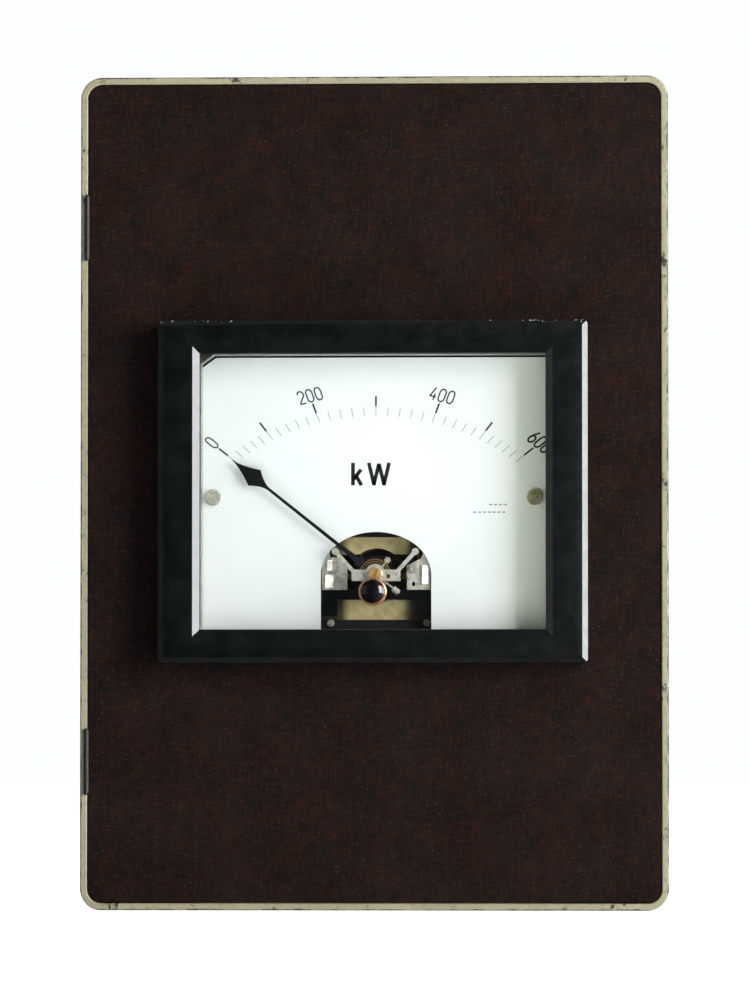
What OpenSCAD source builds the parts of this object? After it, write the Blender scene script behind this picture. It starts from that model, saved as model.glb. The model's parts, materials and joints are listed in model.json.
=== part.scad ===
// Analog dial power meter in a hinged steel instrument case.
// X runs to the right, Y to the back and Z up, with the origin under the middle of the case.
// Depths count back from the front face of the door, so what stands proud of it has a negative depth.

/* [Case] */
// Width of the case
case_w = 165; // [160:1:190]
// Height of the case
case_h = 234; // [226:1:280]
// Depth of the case behind the front of the door
case_d = 110; // [108:1:140]
// Thickness of the steel wall
wall_t = 2; // [1.8:0.1:2.4]
// Outer radius of the case's corners
case_r = 6; // [5:0.5:9]
// Distance between the wall-mounting holes across the back
wall_hole_span_x = 100; // [80:5:110]
// Distance between the wall-mounting holes up the back
wall_hole_span_z = 190; // [170:5:194]
// Radius of a wall-mounting hole
wall_hole_r = 3.25; // [2.5:0.25:3.5]

/* [Door] */
// Thickness of the laminate door
door_t = 4; // [3.5:0.5:4]
// Gap between the door and the case wall
door_gap = 0.35; // [0.3:0.05:0.45]
// Height of one hinge
hinge_h = 17.6; // [15:0.2:22]
// Height of the lower hinge above the base
hinge_low_z = 41.6; // [30:0.2:50]
// Height of the upper hinge above the base
hinge_high_z = 191.6; // [185:0.2:204]
// Height of the door catch above the base
catch_z = 58; // [56:1:62]

/* [Meter] */
// Width of the bezel
bezel_w = 120; // [118:0.5:124]
// Height of the bezel
bezel_h = 95.6; // [94:0.2:100]
// How far the bezel stands proud of the door
bezel_front = 11; // [10.8:0.1:12]
// Width of the window in the bezel
window_w = 96.7; // [94:0.1:97]
// Height of the window in the bezel
window_h = 77.2; // [75:0.1:77.4]
// Depth of the meter's can behind the door's front
can_depth = 62; // [60:1:64]

/* [Dial and movement] */
// Distance of the pivot to the right of the middle
pivot_x = 0.5; // [0:0.1:1]
// Depth of the dial's face behind the door's front
dial_depth = 1.5; // [1.4:0.1:1.7]
// Angle between the pointer at rest and the upright
rest_angle = 51.4; // [48:0.1:52]
// Length of the pointer from its pivot
pointer_len = 51.5; // [48:0.5:52]
// Radius of the opening in the dial over the movement
arch_r = 15.5; // [14:0.5:15.5]
// Radius of the bore in the iron core
bore_r = 7.6; // [7.5:0.1:7.8]

/* [Hidden] */
$fn = 48;
eps = 0.01;

// Where the door's front face lies, with the whole depth centred on the origin
front_y = (bezel_front - case_d) / 2;
mid_z = case_h / 2;

// Inside of the case and the door
inner_w = case_w - 2 * wall_t;
inner_h = case_h - 2 * wall_t;
inner_r = case_r - wall_t;
door_w = inner_w - 2 * door_gap;
door_h = inner_h - 2 * door_gap;
flange_d = case_d - 6;
flange_t = 2;
flange_w = 12;
back_t = 2;
back_fit = 0.3;
back_d = flange_d + flange_t;
back_screw_x = inner_w / 2 - flange_w / 2;
back_screw_z = inner_h / 2 - flange_w / 2;
grommet_x = 22;
grommet_z = 30;
grommet_hole_r = 9;
stop_leg = 8;
stop_t = 1.5;
stop_low_z = 14;
stop_h = 22;
keeper_x = inner_w / 2 - 7.5;
keeper_w = 11;
keeper_t = 0.6;
catch_w = 12;
catch_h = 32;
catch_t = 14;
catch_pole_h = 20;
catch_hole_z = 13;

// Hinges: the barrel stands just in front of the gap along the left edge of the door
barrel_r = 0.7;
pin_r = 0.35;
pin_fit = 0.03;
leaf_t = 0.5;
hinge_x = -inner_w / 2 - 0.2;
hinge_d = -0.75;
knuckle_gap = 0.1;
knuckle_h = (hinge_h - 2 * knuckle_gap) / 3;
recess_d = 16;
hinge_screw_r = 1.1;
hinge_screw_x = -inner_w / 2 + 9;
hinge_screw_z = hinge_h / 2 - 4.2;

// The bezel's section
bezel_back = -0.5;
bezel_top = bezel_front + bezel_back;
crown_r = 32;
crown_w = 7.6;
crown_low_r = 21;
crown_h = 6.4;
edge_w = 1.5;
edge_h = 1.3;
bevel_w = 1.9;
bevel_h = 1.4;
mitre_r = 1.3;

// Glass and its packing, counted back from the lip of the bezel
glass_w = window_w + 3.6;
glass_h = window_h + 3.6;
glass_fit = 0.2;
packing_t = 0.5;
glass_t = 2;
lip_d = 1.5 - bezel_front + bevel_h - 0.8;
glass_d = lip_d + packing_t;
glass_back = glass_d + glass_t;
retainer_t = 1;
liner_in = 0.15;
liner_t = 0.5;
liner_back = 0.9;
liner_foot = 8;
liner_foot_z = 22;
corner_key_x = 3.6;
corner_key_z = 2.6;

// The can behind the door
can_w = 111;
can_h = 87;
can_t = 1.5;
can_r = 3;
can_fit = 0.3;
can_flange = 3;
can_front = -2;
can_screw_x = 46;
can_screw_z = 34;
bezel_screw_x = can_w / 2 + 0.6;
bezel_screw_z = can_h / 2 - 3;
cutout_w = can_w + 2 * can_fit;
cutout_h = can_h + 2 * can_fit;

// Clamps that draw the can against the door
clamp_h = 16;
clamp_t = 2;
clamp_reach = 11;
clamp_foot_d = 26;
clamp_back_d = 46;
clamp_screw_r = 2;
clamp_screw_x = can_w / 2 + clamp_t + clamp_reach / 2;

// Dial
dial_t = 1;
dial_w = 99.6;
dial_low = 77 - mid_z;
dial_high = 155 - mid_z;
dial_cut_x = 5.4;
dial_cut_z = 3.9;
dial_screw_x = 45.1;
dial_screw_z = -1.3;
arch_rise = 12;
arch_steps = 36;

// Movement, around the pivot
pivot_z = mid_z - 23;
chassis_d = 42;
chassis_t = 2;
core_d = 8;
core_back = 26;
core_x = 28;
core_low = pivot_z - 12.5;
core_high = pivot_z + 10.7;
slot_x = 20.5;
slot_low = pivot_z - 7;
slot_high = pivot_z + 5.9;
frame_low_bar = 6.4;
frame_top_bar = 8;
frame_t = 2;
core_screws_at = [-12.5, 14.6];
core_screw_z = core_low - 0.95;
inner_core_r = 5.6;
inner_core_d = 10;
inner_core_back = 24.5;
coil_d = 7.6;
coil_back = 26.6;
coil_out = 7.2;
coil_in = 6.2;
coil_thick = 3.4;
spindle_r = 0.6;
post_x = 11.2;
post_z = 6.4;
post_r = 0.8;
lug_d = 2.7;
lug_back = 3.6;
lug_screws_at = [[-10.3, -2.6], [10.6, 1.8]];
lug_slots = [12, 75];
// Tabs bent forward out of the lugs: right end, foot, width and height of each
lug_tabs = [[-12.2, -3.6, 2.4, 3.6], [-12.5, 1.2, 1.5, 2.9], [14.4, -2.6, 1.8, 5.2]];
bridge_d = -3.2;
bridge_t = 1.2;
lever_d = -3.9;
lever_t = 0.5;
lever_fit = 0.05;
nut_r = 2.2;
jewel_r = 1.9;
pointer_d = -0.9;
pointer_t = 0.4;
tail_angle = 180;
weight_at = 6.2;
weight_r = 0.85;
vane_d = 32.6;
vane_back = 37.4;
vane_r = 17;
chamber_r = 18.4;
chamber_d = 31;
chamber_back = 39;
chamber_t = 0.8;
chamber_hub_r = 5;
chamber_half = 66;
spring_r = 4.6;
spring_turns = 5;
spring_w = 0.12;
spring_steps = 16;

// Zero adjuster in the glass
knob_x = 0;
knob_z = pivot_z - 5;
knob_r = 3.3;
knob_hole_r = 2.6;
ferrule_r = 3.9;
crank_r = 1.2;
crank_pin_r = 0.5;
lever_reach = 8;

// Series resistors
resistor_x = 22;
resistor_z = mid_z + 19;
resistor_d = 12;

// Terminals behind the can
block_w = 88;
block_h = 26;
block_t = 10;
stud_r = 2.5;
stud_pitch = 17;
stud_count = 5;
stud_xs = [for (i = [0 : stud_count - 1]) (i - (stud_count - 1) / 2) * stud_pitch];
stud_end = can_depth + 26;
nut_across = 8;
nut_h = 3;

// Fasteners
slot_w = 0.6;
slot_deep = 0.5;
head_edge = 0.3;

// ---- Shared shapes ----

// Moves its children from depths to the object's own Y
module from_front() {
  translate([0, front_y, 0])
    children();
}

// Gives a flat outline in X and Z its thickness, from one depth to another
module plate(d0, d1) {
  translate([0, d1, 0])
    rotate([90, 0, 0])
      linear_extrude(d1 - d0)
        children();
}

// Round bar along the depth
module rod(x, z, d0, d1, r) {
  translate([x, d0, z])
    rotate([-90, 0, 0])
      cylinder(h = d1 - d0, r = r);
}

// Turned piece on an axis along the depth, from a profile of radius and depth
module turned(x, d, z, profile) {
  translate([x, d, z])
    rotate([-90, 0, 0])
      rotate_extrude()
        polygon(profile);
}

// Rectangle with round corners, centred
module rounded(w, h, r) {
  square([w - 2 * r, h], center = true);
  square([w, h - 2 * r], center = true);
  for (x = [-1, 1], z = [-1, 1])
    translate([x * (w / 2 - r), z * (h / 2 - r)])
      circle(r);
}

// Rounded ring, centred
module rounded_ring(w, h, r, band) {
  difference() {
    rounded(w, h, r);
    rounded(w - 2 * band, h - 2 * band, max(r - band, 0.4));
  }
}

// Turns its children end for end about a depth, for a screw that is driven from the back
module from_back(d) {
  translate([0, d, 0])
    mirror([0, 1, 0])
      translate([0, -d, 0])
        children();
}

// Slotted screw with its head's face at depth d; the slot rises to the right by the angle a
module screw(x, z, d, head_r, head_h, shank_r, shank, a = 0) {
  difference() {
    turned(x, d, z, [
      [0, 0], [head_r - head_edge, 0], [head_r, head_edge], [head_r, head_h],
      [shank_r, head_h], [shank_r, head_h + shank], [0, head_h + shank]
    ]);
    translate([x, d, z])
      rotate([0, -a, 0])
        translate([-head_r - 1, -1, -slot_w / 2])
          cube([2 * head_r + 2, 1 + slot_deep, slot_w]);
  }
}

// Copies its children to both sides of the middle
module both_sides() {
  children();
  mirror([1, 0, 0])
    children();
}

// Copies its children to both hinges
module at_hinges() {
  for (z = [hinge_low_z, hinge_high_z])
    translate([0, 0, z])
      children();
}

// Turns its children about the pivot, clockwise as the dial is read
module about_pivot(a) {
  translate([pivot_x, 0, pivot_z])
    rotate([0, a, 0])
      children();
}

// ---- Case ----

// Steel wall with the back flange, thinned from the inside at the front for the hinge leaves
module case_shell() {
  color("#b3a987")
    from_front()
      difference() {
        translate([0, 0, mid_z])
          union() {
            plate(0, case_d)
              rounded_ring(case_w, case_h, case_r, wall_t);
            plate(flange_d, flange_d + flange_t)
              rounded_ring(case_w - wall_t, case_h - wall_t, case_r - wall_t / 2, flange_w + wall_t / 2);
          }
        at_hinges()
          translate([hinge_x - leaf_t - 0.05, -1, -hinge_h / 2 - 0.1])
            cube([wall_t, recess_d + 1, hinge_h + 0.2]);
        for (x = [-1, 1], z = [-1, 0, 1])
          rod(x * back_screw_x, mid_z + z * back_screw_z, flange_d - 1, flange_d + flange_t + 1, 1.65);
      }
}

// Sheet that closes the back, with the wall-mounting holes and the cable holes
module back_plate() {
  color("#a39a7c")
    from_front()
      difference() {
        translate([0, 0, mid_z])
          plate(back_d, back_d + back_t)
            rounded(inner_w - 2 * back_fit, inner_h - 2 * back_fit, inner_r - back_fit);
        for (x = [-1, 1], z = [-1, 1])
          rod(x * wall_hole_span_x / 2, mid_z + z * wall_hole_span_z / 2, back_d - 1, case_d, wall_hole_r);
        for (x = [-1, 1], z = [-1, 0, 1])
          rod(x * back_screw_x, mid_z + z * back_screw_z, back_d - 1, case_d, 2.15);
        for (x = [-1, 1])
          rod(x * grommet_x, grommet_z, back_d - 1, case_d, grommet_hole_r);
        rod(0, grommet_z, back_d - 1, case_d, 2.15);
      }
}

module back_plate_screws() {
  color("#8d8f90")
    from_front()
      for (x = [-1, 1], z = [-1, 0, 1])
        from_back(case_d)
          screw(x * back_screw_x, mid_z + z * back_screw_z, case_d + 0.2, 3.5, 1.8, 1.6, 7, 35);
}

// Angle strips that the closed door stops against
module door_stop_angles() {
  stop_d = door_t + 0.3;
  stop_len = 100;
  stop_top_z = case_h - stop_low_z - stop_h - 18;
  color("#a39a7c")
    from_front() {
      for (s = [0, 1])
        translate([0, stop_d, mid_z])
          mirror([0, 0, s]) {
            translate([-stop_len / 2, 0, inner_h / 2 - stop_leg])
              cube([stop_len, stop_t, stop_leg - eps]);
            translate([-stop_len / 2, 0, inner_h / 2 - stop_t])
              cube([stop_len, 2 * stop_leg, stop_t - eps]);
          }
      for (z = [stop_low_z, stop_top_z])
        translate([inner_w / 2 - stop_leg, stop_d, z]) {
          cube([stop_leg - eps, stop_t, stop_h]);
          translate([stop_leg - stop_t, 0, 0])
            cube([stop_t - eps, 2 * stop_leg, stop_h]);
        }
    }
}

// Barrel of a hinge between two heights, bored for the pin
module knuckle(z0, z1) {
  translate([hinge_x, hinge_d, z0])
    difference() {
      cylinder(h = z1 - z0, r = barrel_r);
      translate([0, 0, -1])
        cylinder(h = z1 - z0 + 2, r = pin_r + pin_fit);
    }
}

// Leaf riveted in the wall's recess, with the outer two knuckles
module hinge_case_leaves() {
  x0 = hinge_x - leaf_t - 0.05;
  color("#26262a")
    from_front()
      at_hinges() {
        for (s = [-1, 1])
          mirror([0, 0, s < 0 ? 1 : 0]) {
            knuckle(hinge_h / 2 - knuckle_h, hinge_h / 2);
            translate([x0, hinge_d + 0.5, hinge_h / 2 - knuckle_h])
              cube([leaf_t, 2, knuckle_h]);
            translate([x0 + eps, 11, hinge_h / 2 - 4.2])
              rotate([0, 90, 0])
                cylinder(h = leaf_t + 0.6, r = 1.3);
          }
        translate([x0, 0.2, -hinge_h / 2])
          cube([leaf_t, recess_d - 0.4, hinge_h]);
      }
}

// Pins with a rounded head at each end
module hinge_pins() {
  color("#55565a")
    from_front()
      at_hinges()
        translate([hinge_x, hinge_d, 0]) {
          translate([0, 0, -hinge_h / 2 - 0.3])
            cylinder(h = hinge_h + 0.6, r = pin_r);
          for (s = [-1, 1])
            mirror([0, 0, s < 0 ? 1 : 0])
              translate([0, 0, hinge_h / 2])
                cylinder(h = 0.5, r1 = barrel_r, r2 = barrel_r - 0.25);
        }
}

// Magnetic catch: a housed magnet on the right wall
module catch_magnet() {
  d0 = door_t + 1.5;
  pole_x = [inner_w / 2 - 11, inner_w / 2 - 6];
  color("#2b2a28")
    from_front()
      difference() {
        union() {
          translate([inner_w / 2 - catch_w, d0, catch_z - catch_h / 2])
            cube([catch_w - eps, catch_t, catch_h]);
          for (x = pole_x)
            translate([x, d0 - 0.8, catch_z - catch_pole_h / 2])
              cube([2, 4, catch_pole_h]);
        }
        for (z = [-catch_hole_z, catch_hole_z])
          translate([inner_w / 2 - catch_w - 1, d0 + catch_t / 2, catch_z + z])
            rotate([0, 90, 0])
              cylinder(h = catch_w + 2, r = 1.6);
      }
}

// Rubber grommets for the cables that come through the back
module cable_grommets() {
  color("#1d1d1e")
    from_front()
      for (x = [-1, 1])
        turned(x * grommet_x, back_d, grommet_z, [
          [6.5, -1.9], [10.6, -1.9], [11, -1.4], [11, 0], [grommet_hole_r, 0], [grommet_hole_r, back_t],
          [10.6, back_t], [10.6, back_t + 1.4], [10.2, back_t + 1.8], [6.5, back_t + 1.8]
        ]);
}

// Earth stud through the back plate, with its washer and nut
module earth_terminal() {
  color("#c9a24b")
    from_front() {
      rod(0, grommet_z, back_d - 14, case_d - 1, 2.1);
      rod(0, grommet_z, back_d + back_t, case_d - 0.4, 4);
      difference() {
        rod(0, grommet_z, back_d - 1, back_d, 4.5);
        rod(0, grommet_z, back_d - 2, back_d + 1, 2.15);
      }
      difference() {
        translate([0, back_d - 4.2, grommet_z])
          rotate([-90, 0, 0])
            cylinder(h = 3.2, d = 7 / cos(30), $fn = 6);
        rod(0, grommet_z, back_d - 5, back_d, 2.15);
      }
    }
}

// ---- Door ----

// Laminate panel with the meter's cut-out
module door_panel() {
  color("#33201d")
    from_front()
      difference() {
        translate([0, 0, mid_z])
          plate(0, door_t)
            difference() {
              rounded(door_w, door_h, inner_r - door_gap);
              rounded(cutout_w, cutout_h, can_r);
            }
        at_hinges()
          for (z = [-1, 1])
            rod(hinge_screw_x, z * hinge_screw_z, 1, door_t + 1, hinge_screw_r);
        for (z = [-1, 1])
          rod(keeper_x, catch_z + z * catch_hole_z, 1, door_t + 1, hinge_screw_r);
      }
}

// Leaf bent round the door's edge, with the middle knuckle
module hinge_door_leaves() {
  x0 = hinge_x + 0.05;
  color("#26262a")
    from_front()
      at_hinges()
        difference() {
          union() {
            knuckle(-knuckle_h / 2, knuckle_h / 2);
            translate([x0, hinge_d + 0.5, -knuckle_h / 2])
              cube([leaf_t, 2, knuckle_h]);
            translate([x0, 0.2, -hinge_h / 2])
              cube([leaf_t, door_t + 0.6, hinge_h]);
            translate([x0, door_t, -hinge_h / 2])
              cube([15, 0.8, hinge_h]);
          }
          for (z = [-1, 1])
            rod(hinge_screw_x, z * hinge_screw_z, door_t - 1, door_t + 2, hinge_screw_r + 0.2);
        }
}

module hinge_door_screws() {
  color("#6f7072")
    from_front()
      at_hinges()
        for (z = [-1, 1])
          from_back(door_t + 0.8)
            screw(hinge_screw_x, z * hinge_screw_z, door_t - 0.4, 2, 1.2, hinge_screw_r - 0.05, 3.4, 60 * z);
}

// Steel plate that the magnet holds, with its two screws
module catch_keeper() {
  color("#8d8f90")
    from_front()
      union() {
        translate([keeper_x - keeper_w / 2, door_t, catch_z - catch_h / 2])
          cube([keeper_w, keeper_t, catch_h]);
        for (z = [-catch_hole_z, catch_hole_z])
          rod(keeper_x, catch_z + z, 1.4, door_t + keeper_t - eps, hinge_screw_r - 0.05);
      }
}

// ---- Meter housing ----

// Extrudes a profile of X and height in front of the door, evenly about the middle, along Z
module along_z(length) {
  translate([0, bezel_back, -length / 2])
    mirror([0, 1, 0])
      linear_extrude(length)
        children();
}

// Outer profile across the whole bezel: bevelled edges, crowned from each edge up to a flat middle
module crowned(span, crown_at, crown) {
  side = bezel_top - crown + sqrt(crown * crown - pow(crown_at - edge_w, 2));
  half = span / 2;
  flat = half - crown_at;
  intersection() {
    union() {
      translate([-flat, 0])
        square([2 * flat, bezel_top]);
      for (x = [-flat, flat])
        translate([x, bezel_top - crown])
          circle(crown, $fn = 240);
    }
    polygon([
      [-half, 0], [half, 0], [half, side - edge_h], [half - 2 * edge_w, side + edge_h],
      [2 * edge_w - half, side + edge_h], [-half, side - edge_h]
    ]);
  }
}

// Profile of the window, which opens towards the reader in a bevel
module bevelled_opening(opening) {
  half = opening / 2;
  polygon([
    [-half, -1], [half, -1], [half, bezel_top - bevel_h],
    [half + 2 * bevel_w, bezel_top + bevel_h], [-half - 2 * bevel_w, bezel_top + bevel_h],
    [-half, bezel_top - bevel_h]
  ]);
}

// Moulded frame round the window, rebated for the glass and for the can's flange
module meter_bezel() {
  color("#1f2425")
    from_front()
      translate([0, 0, mid_z])
        difference() {
          intersection() {
            along_z(bezel_h)
              crowned(bezel_w, crown_w, crown_r);
            rotate([0, 90, 0])
              along_z(bezel_w)
                crowned(bezel_h, crown_h, crown_low_r);
            plate(-bezel_front - 1, bezel_back)
              rounded(bezel_w, bezel_h, mitre_r);
          }
          intersection() {
            along_z(bezel_h)
              bevelled_opening(window_w);
            rotate([0, 90, 0])
              along_z(bezel_w)
                bevelled_opening(window_h);
          }
          plate(lip_d, 0)
            square([glass_w + 2 * glass_fit, glass_h + 2 * glass_fit], center = true);
          plate(can_front, 0)
            rounded(can_w + 2 * can_flange + 0.4, can_h + 2 * can_flange + 0.4, can_r);
          for (x = [-1, 1], z = [-1, 1])
            rod(x * bezel_screw_x, z * bezel_screw_z, can_front - 4, 0, 0.8);
        }
}

// Red fibre gasket between the bezel and the door
module bezel_gasket() {
  color("#6e3a2c")
    from_front()
      translate([0, 0, mid_z])
        plate(bezel_back, 0)
          difference() {
            rounded(bezel_w - 0.8, bezel_h - 0.8, mitre_r);
            rounded(cutout_w, cutout_h, can_r);
          }
}

// Small screws that hold the bezel on the can's flange
module bezel_screws() {
  color("#8d8f90")
    from_front()
      translate([0, 0, mid_z])
        for (x = [-1, 1], z = [-1, 1])
          turned(x * bezel_screw_x, bezel_back, z * bezel_screw_z, [
            [0, 0], [1.5, 0], [0.75, -0.8], [0.75, -4.5], [0, -4.5]
          ]);
}

// Window glass, bored for the zero adjuster
module window_glass() {
  color("#dfe9e6", 0.3)
    from_front()
      difference() {
        translate([0, 0, mid_z])
          plate(glass_d, glass_back)
            square([glass_w, glass_h], center = true);
        rod(knob_x, knob_z, glass_d - 1, glass_back + 1, ferrule_r - 0.7);
      }
}

module glass_gasket() {
  color("#6e3a2c")
    from_front()
      translate([0, 0, mid_z])
        plate(lip_d, glass_d)
          difference() {
            square([glass_w, glass_h], center = true);
            square([window_w + 0.6, window_h + 0.6], center = true);
          }
}

// Frame behind the glass: a liner down to the dial, keyed to the dial's cut corner, on four feet
module glass_retainer() {
  liner_w = window_w - 2 * liner_in;
  liner_h = window_h - 2 * liner_in;
  foot_x = liner_w / 2 + liner_t;
  color("#8b8f94")
    from_front()
      translate([0, 0, mid_z])
        union() {
          plate(glass_back, glass_back + retainer_t)
            difference() {
              square([glass_w, glass_h], center = true);
              square([liner_w, liner_h], center = true);
            }
          plate(glass_back, liner_back)
            difference() {
              square([liner_w + 2 * liner_t, liner_h + 2 * liner_t], center = true);
              square([liner_w, liner_h], center = true);
            }
          plate(glass_back, liner_back)
            polygon([
              [-liner_w / 2 - eps, liner_h / 2 + eps],
              [-liner_w / 2 - eps, liner_h / 2 - corner_key_z],
              [corner_key_x - liner_w / 2, liner_h / 2 + eps]
            ]);
          both_sides()
            for (z = [-1, 1])
              translate([foot_x - eps, glass_back, z * liner_foot_z - liner_foot / 2])
                cube([dial_w / 2 - foot_x, dial_depth - glass_back - 0.1, liner_foot]);
        }
}

// Brass ferrule that the adjuster turns in
module adjuster_ferrule() {
  color("#b87a4c")
    from_front()
      turned(knob_x, glass_d, knob_z, [
        [knob_hole_r, -0.9], [ferrule_r - 0.3, -0.9], [ferrule_r, -0.5], [ferrule_r, 0],
        [ferrule_r - 0.75, 0], [ferrule_r - 0.75, glass_t], [ferrule_r, glass_t],
        [ferrule_r, glass_t + 0.5], [knob_hole_r, glass_t + 0.5]
      ]);
}

// Pressed can that holds the movement, flanged at the front
module meter_can() {
  color("#17181a")
    from_front()
      translate([0, 0, mid_z])
        difference() {
          union() {
            plate(can_front, can_depth)
              rounded(can_w, can_h, can_r);
            plate(can_front, bezel_back)
              rounded(can_w + 2 * can_flange, can_h + 2 * can_flange, can_r);
          }
          plate(can_front - 1, can_depth - can_t)
            rounded(can_w - 2 * can_t, can_h - 2 * can_t, can_r - can_t + 0.3);
          for (x = [-1, 1], z = [-1, 1])
            rod(x * can_screw_x, z * can_screw_z, can_depth - 3, can_depth + 1, 1.65);
          for (x = stud_xs)
            rod(x, 0, can_depth - 3, can_depth + 1, 4);
          for (x = [-1, 1], z = [-1, 1])
            turned(x * bezel_screw_x, bezel_back, z * bezel_screw_z, [
              [0, 0.1], [1.65, 0.1], [0.85, -0.75], [0.85, -4.5], [0, -4.5]
            ]);
        }
}

module can_screws() {
  color("#8d8f90")
    from_front()
      for (x = [-1, 1], z = [-1, 1])
        from_back(can_depth)
          screw(x * can_screw_x, mid_z + z * can_screw_z, can_depth - 1.6, 2.8, 1.6, 1.5, 7, 20 * x + 45);
}

// Angle brackets on the can's sides that the clamp screws pull on
module mounting_clamps() {
  color("#9a9c9d")
    from_front()
      both_sides()
        difference() {
          translate([can_w / 2, 0, mid_z - clamp_h / 2]) {
            translate([0, clamp_foot_d, 0])
              cube([clamp_t, clamp_back_d - clamp_foot_d, clamp_h]);
            translate([0, clamp_foot_d, 0])
              cube([clamp_t + clamp_reach, clamp_t * 2, clamp_h]);
          }
          rod(clamp_screw_x, mid_z, clamp_foot_d - 1, clamp_foot_d + 6, clamp_screw_r + 0.05);
        }
}

module clamp_screws() {
  color("#8d8f90")
    from_front()
      both_sides()
        from_back(clamp_foot_d + 8)
          screw(clamp_screw_x, mid_z, clamp_foot_d + 6, 3.5, 2, clamp_screw_r, clamp_foot_d - door_t + 8, 30);
}

// ---- Dial ----

// Outline of the arched opening in the dial: a low half-ellipse on straight sides
module arch_outline() {
  arc = [for (i = [0 : arch_steps]) let (a = 180 * i / arch_steps)
    [pivot_x + arch_r * cos(a), pivot_z - mid_z + arch_rise * sin(a)]];
  polygon(concat(arc, [[pivot_x - arch_r, dial_low - 1], [pivot_x + arch_r, dial_low - 1]]));
}

// Enamelled scale plate
module scale_plate() {
  half = dial_w / 2;
  color("#f3f6f8")
    from_front()
      translate([0, 0, mid_z])
        plate(dial_depth, dial_depth + dial_t)
          difference() {
            polygon([
              [-half, dial_low], [half, dial_low], [half, dial_high],
              [dial_cut_x - half, dial_high], [-half, dial_high - dial_cut_z]
            ]);
            arch_outline();
            for (x = [-1, 1])
              translate([x * dial_screw_x, dial_screw_z])
                circle(1.3);
          }
}

module scale_screw(side, a) {
  screw(side * dial_screw_x, mid_z + dial_screw_z, dial_depth - 1.3, 2.3, 1.3, 1.2, 6, a);
}

module scale_screw_left() {
  color("#b9b7ad")
    from_front()
      scale_screw(-1, 22);
}

module scale_screw_right() {
  color("#c6b27a")
    from_front()
      scale_screw(1, 50);
}

// Posts that carry the dial, tapped for its screws
module scale_posts() {
  color("#9a9c9d")
    from_front()
      for (x = [-1, 1])
        difference() {
          rod(x * dial_screw_x, mid_z + dial_screw_z, dial_depth + dial_t, chassis_d, 3);
          rod(x * dial_screw_x, mid_z + dial_screw_z, dial_depth, dial_depth + dial_t + 7, 1.25);
        }
}

// ---- Fixed parts of the movement ----

// Plate that carries the whole movement and the rear bearing
module chassis_plate() {
  color("#8d8f90")
    from_front()
      translate([0, 0, mid_z])
        plate(chassis_d, chassis_d + chassis_t)
          difference() {
            rounded(100, 76, 3);
            translate([pivot_x, pivot_z - mid_z])
              circle(1.8);
            for (x = [-1, 1], z = [-1, 1])
              translate([x * can_screw_x, z * can_screw_z])
                circle(1.65);
            translate([0, 18])
              circle(7);
          }
}

// Pillars staked into the chassis plate and tapped for the can's screws
module chassis_pillars() {
  back = chassis_d + chassis_t;
  color("#9a9c9d")
    from_front()
      for (x = [-1, 1], z = [-1, 1])
        translate([x * can_screw_x, 0, mid_z + z * can_screw_z])
          difference() {
            union() {
              rod(0, 0, chassis_d - 0.8, chassis_d, 2.5);
              rod(0, 0, chassis_d - 0.4, back + 1, 1.6);
              rod(0, 0, back, can_depth - can_t, 3);
            }
            rod(0, 0, can_depth - 9, can_depth, 1.55);
          }
}

// Black frame that clamps the laminated core, on legs from the chassis plate
module core_frame() {
  window_in = slot_x - 5.2;
  window_out = core_x + 5;
  color("#141516")
    from_front()
      translate([pivot_x, 0, 0])
        difference() {
          union() {
            translate([-core_x - 4, core_d, core_low - frame_low_bar])
              cube([2 * core_x + 8, core_back - core_d + frame_t, frame_low_bar]);
            translate([-core_x - 4, core_d, core_high])
              cube([2 * core_x + 8, core_back - core_d + frame_t, frame_top_bar]);
            translate([-core_x - 4, core_back, core_low - eps])
              cube([2 * core_x + 8, frame_t, core_high - core_low + 2 * eps]);
            for (x = [-1, 1], z = [core_low - frame_low_bar / 2, core_high + frame_top_bar / 2])
              rod(x * core_x, z, core_back, chassis_d, 2.5);
          }
          rod(0, pivot_z, core_back - 1, core_back + frame_t + 1, bore_r + 0.6);
          both_sides()
            translate([window_in, core_back - 1, slot_low - 0.6])
              cube([window_out - window_in, frame_t + 2, slot_high - slot_low + 1.2]);
          for (x = core_screws_at)
            rod(x - pivot_x, core_screw_z, core_d - 1, core_d + 12, 0.9);
        }
}

// Laminated iron core: upper and lower poles round the bore, joined by the side yokes
module stator_core() {
  color("#a8935a")
    from_front()
      translate([pivot_x, 0, 0])
        plate(core_d, core_back)
          difference() {
            translate([-core_x, core_low])
              square([2 * core_x, core_high - core_low]);
            translate([-slot_x, slot_low])
              square([2 * slot_x, slot_high - slot_low]);
            translate([0, pivot_z])
              circle(bore_r);
          }
}

// Two small screws in the lower bar of the core frame
module core_screws() {
  color("#c4c6c6")
    from_front()
      for (x = core_screws_at)
        screw(x, core_screw_z, core_d - 0.9, 1.05, 0.9, 0.85, 10, 15);
}

// Fixed current coils round the side yokes
module current_coils() {
  gap = 0.25;
  wall = 4.4;
  coil_low = slot_low + 0.3;
  coil_high = slot_high - 0.3;
  color("#5a2d1c")
    from_front()
      translate([pivot_x, 0, 0])
        both_sides()
          difference() {
            translate([slot_x - wall - gap, core_d - 4, coil_low])
              cube([core_x - slot_x + 2 * (wall + gap), core_back - core_d + 8, coil_high - coil_low]);
            translate([slot_x - gap, core_d - gap, coil_low - 1])
              cube([core_x - slot_x + 2 * gap, core_back - core_d + 2 * gap, coil_high - coil_low + 2]);
          }
}

// Soft iron cylinder inside the moving coil
module inner_core() {
  color("#6c6a63")
    from_front()
      difference() {
        rod(pivot_x, pivot_z, inner_core_d, inner_core_back, inner_core_r);
        translate([pivot_x - 10, 16.4, pivot_z - 1])
          cube([20, 2.2, 2]);
      }
}

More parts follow.
